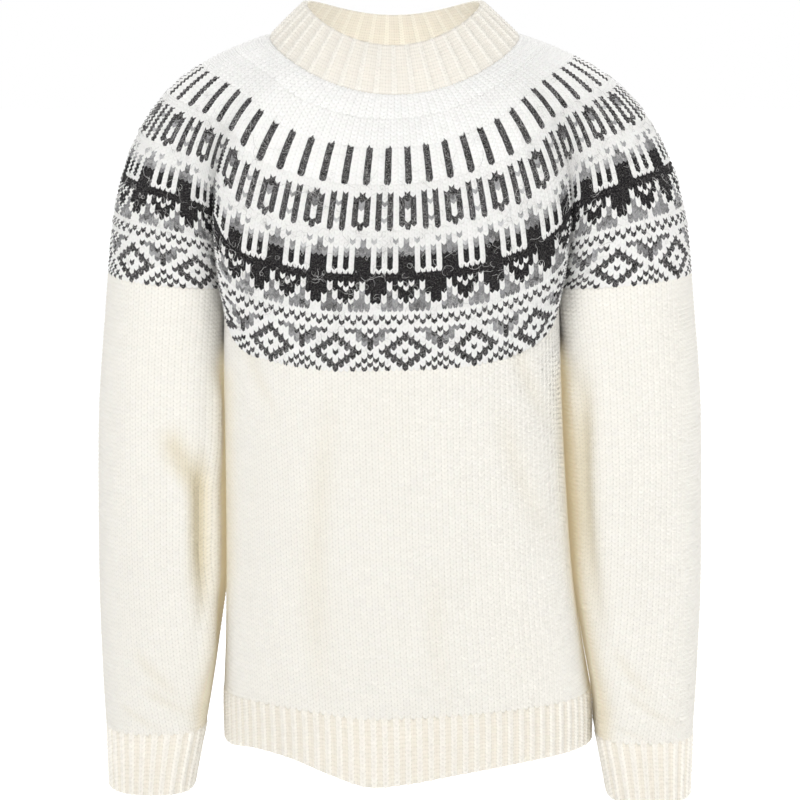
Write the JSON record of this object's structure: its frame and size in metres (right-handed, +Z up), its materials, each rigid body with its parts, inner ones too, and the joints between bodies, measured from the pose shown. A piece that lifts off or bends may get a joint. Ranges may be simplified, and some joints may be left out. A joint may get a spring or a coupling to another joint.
{
  "type": "worn colour block knitted sweater, hollow, with a patterned round yoke",
  "caption": "Knitted wool pullover in worn shape, hollow inside: ribbed crew neckband, charcoal, grey and white patterned round yoke, plain cream body and long sleeves, ribbed hem and cuffs.",
  "frame": {"origin": "middle of the neck opening, at the height where the shoulders would hold the sweater up", "axes": "+Z up along the body, +X to the viewer's right (the wearer's left), front faces -Y"},
  "size_m": [0.5732, 0.2339, 0.7595],
  "materials": {
    "cream_wool": "plain knitted cream wool, matt with a soft fuzz",
    "cream_rib_wool": "ribbed knitted cream wool, matt with a soft fuzz",
    "patterned_wool": "stranded knitting in charcoal, greys and cream, matt with loose light hairs"
  },
  "bodies": {
    "root": {"neckband": "cream_rib_wool", "yoke": "patterned_wool", "body": "cream_wool", "hem_rib": "cream_rib_wool", "sleeve_left": "cream_wool", "sleeve_right": "cream_wool", "cuff_left": "cream_rib_wool", "cuff_right": "cream_rib_wool"}
  },
  "joints": []
}
